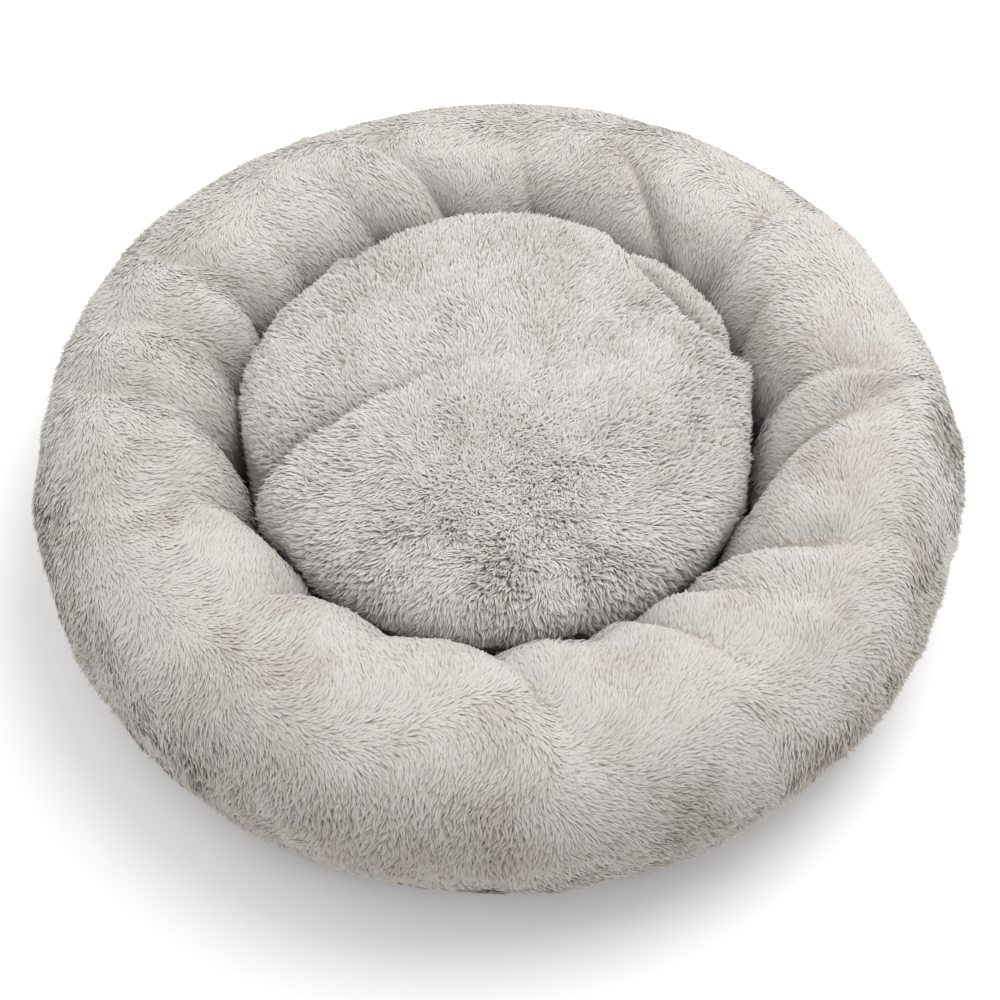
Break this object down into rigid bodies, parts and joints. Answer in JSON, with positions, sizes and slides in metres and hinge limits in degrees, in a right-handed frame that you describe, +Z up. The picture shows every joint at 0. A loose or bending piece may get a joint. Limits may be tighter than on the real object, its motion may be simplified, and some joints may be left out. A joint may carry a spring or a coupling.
{
  "type": "pet cushion bed",
  "caption": "Round fur-covered pet bed: a stuffed ring on a cloth base with a loose round cushion lying in its nest, both closed by zips.",
  "frame": {"origin": "centre of the base panel's underside, on the floor", "axes": "+Z up, +Y towards the back where the zips are, +X to the right seen from the front"},
  "size_m": [0.6996, 0.6996, 0.16],
  "materials": {
    "bolster_fur": "matte",
    "cushion_fur": "matte",
    "fibre": "matte",
    "liner_cloth": "matte",
    "base_cloth": "matte",
    "lining_cloth": "matte",
    "binding_tape": "matte",
    "zip_tape": "matte",
    "zip_coil": "satin",
    "zip_metal": "satin",
    "label_cloth": "satin"
  },
  "bodies": {
    "nest": {"bolster_fur_right": "bolster_fur", "bolster_fur_back": "bolster_fur", "bolster_fur_left": "bolster_fur", "bolster_fur_front": "bolster_fur", "bolster_fill_liner": "liner_cloth", "bolster_fill": "fibre", "base_panel": "base_cloth", "base_edge_binding": "binding_tape", "nest_floor_panel": "lining_cloth", "inner_seam_tape": "binding_tape", "bolster_zip_tape_upper": "zip_tape", "bolster_zip_tape_lower": "zip_tape", "bolster_zip_coil_upper": "zip_coil", "bolster_zip_coil_lower": "zip_coil", "bolster_zip_stop_start": "zip_metal", "bolster_zip_stop_end": "zip_metal", "bolster_care_label": "label_cloth"},
    "bolster_zip_slider": {"bolster_zip_slider": "zip_metal"},
    "bolster_zip_pull": {"bolster_zip_pull": "zip_metal"},
    "cushion": {"cushion_fur_cover": "cushion_fur", "cushion_underside_panel": "lining_cloth", "cushion_edge_binding": "binding_tape", "cushion_fill_liner": "liner_cloth", "cushion_fill": "fibre", "cushion_zip_tape_upper": "zip_tape", "cushion_zip_tape_lower": "zip_tape", "cushion_zip_coil_upper": "zip_coil", "cushion_zip_coil_lower": "zip_coil", "cushion_zip_stop_start": "zip_metal", "cushion_zip_stop_end": "zip_metal", "cushion_care_label": "label_cloth"},
    "cushion_zip_slider": {"cushion_zip_slider": "zip_metal"},
    "cushion_zip_pull": {"cushion_zip_pull": "zip_metal"}
  },
  "joints": [
    {"name": "cushion_lift", "type": "slide", "parent": "nest", "child": "cushion", "axis": [0, 0, 1], "range_m": [0, 0.26]},
    {"name": "bolster_zip_travel", "type": "hinge", "parent": "nest", "child": "bolster_zip_slider", "pos_m": [0, 0, 0.0196], "axis": [0, 0, 1], "range_deg": [0, 82.2]},
    {"name": "bolster_zip_pull_flip", "type": "hinge", "parent": "bolster_zip_slider", "child": "bolster_zip_pull", "pos_m": [0.22342, 0.25569, 0.0196], "axis": [0, 0, -1], "range_deg": [0, 180]},
    {"name": "cushion_zip_travel", "type": "hinge", "parent": "cushion", "child": "cushion_zip_slider", "pos_m": [0, 0, 0.024], "axis": [0, 0, 1], "range_deg": [0, 52.8]},
    {"name": "cushion_zip_pull_flip", "type": "hinge", "parent": "cushion_zip_slider", "child": "cushion_zip_pull", "pos_m": [0.08262, 0.16625, 0.024], "axis": [0, 0, -1], "range_deg": [0, 180]}
  ]
}
